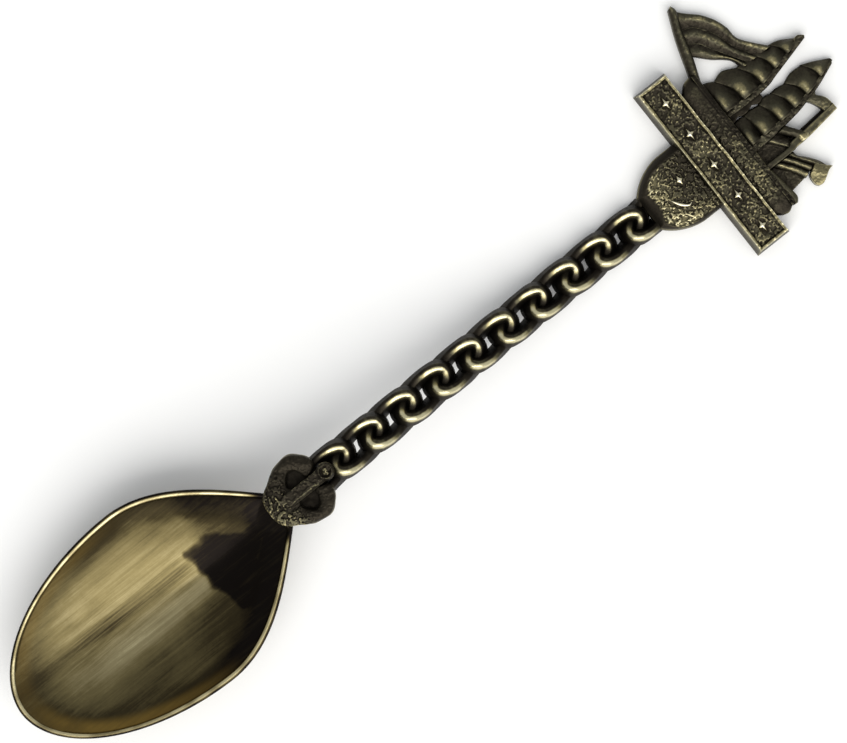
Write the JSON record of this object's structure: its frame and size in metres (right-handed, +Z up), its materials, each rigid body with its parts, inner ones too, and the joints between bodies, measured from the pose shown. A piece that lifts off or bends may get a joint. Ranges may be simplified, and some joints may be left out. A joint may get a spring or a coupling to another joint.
{
  "type": "souvenir spoon",
  "caption": "Collector's teaspoon in aged brass: oval bowl, anchor at the neck, stiff curb-chain handle, round-ended medallion, blank name bar and a sailing ship.",
  "frame": {"origin": "centre of the small flat under the bowl, on the table that the spoon lies on", "axes": "+X from the bowl along the handle to the ship, +Y to the side of the ship's bow, +Z up out of the bowl"},
  "size_m": [0.1296, 0.0321, 0.0112],
  "materials": {
    "bowl_brass": "brushed lengthwise, lightly tarnished, bright rim",
    "anchor_brass": "hammered relief, dark patina in the hollows, rubbed bright on the high points",
    "chain_brass": "dark patina with polished upper faces",
    "stippled_brass": "stippled ground, dark patina, rubbed edges",
    "rigging_brass": "cast relief, satin, grey-brown patina",
    "bright_brass": "polished high points"
  },
  "bodies": {
    "root": {"anchor_arms": "anchor_brass", "anchor_ground": "anchor_brass", "anchor_pin": "anchor_brass", "anchor_shank": "anchor_brass", "bar_star_1": "bright_brass", "bar_star_2": "bright_brass", "bar_star_3": "bright_brass", "bar_star_4": "bright_brass", "bar_star_5": "bright_brass", "bowl": "bowl_brass", "bowsprit": "rigging_brass", "chain_link_01": "chain_brass", "chain_link_02": "chain_brass", "chain_link_03": "chain_brass", "chain_link_04": "chain_brass", "chain_link_05": "chain_brass", "chain_link_06": "chain_brass", "chain_link_07": "chain_brass", "chain_link_08": "chain_brass", "chain_link_09": "chain_brass", "chain_link_10": "chain_brass", "chain_link_11": "chain_brass", "crescent": "bright_brass", "deck_rail": "stippled_brass", "ensign": "rigging_brass", "fore_sail_1": "rigging_brass", "fore_sail_2": "rigging_brass", "fore_sail_3": "rigging_brass", "fore_sail_4": "rigging_brass", "fore_sail_5": "rigging_brass", "foremast": "rigging_brass", "gaff": "rigging_brass", "hull": "stippled_brass", "jib_fold_1": "rigging_brass", "jib_fold_2": "rigging_brass", "jib_fold_3": "rigging_brass", "main_sail_1": "rigging_brass", "main_sail_2": "rigging_brass", "main_sail_3": "rigging_brass", "main_sail_4": "rigging_brass", "main_sail_5": "rigging_brass", "main_sail_6": "rigging_brass", "mainmast": "rigging_brass", "medallion": "stippled_brass", "medallion_star": "bright_brass", "mizzen_boom_lower": "rigging_brass", "mizzen_boom_upper": "rigging_brass", "mizzen_sail": "rigging_brass", "mizzenmast": "rigging_brass", "name_bar": "stippled_brass", "sail_web": "rigging_brass", "stern_fold_1": "rigging_brass", "stern_fold_2": "rigging_brass", "stern_fold_3": "rigging_brass", "stern_rail": "rigging_brass", "stern_sail": "rigging_brass"}
  },
  "joints": []
}
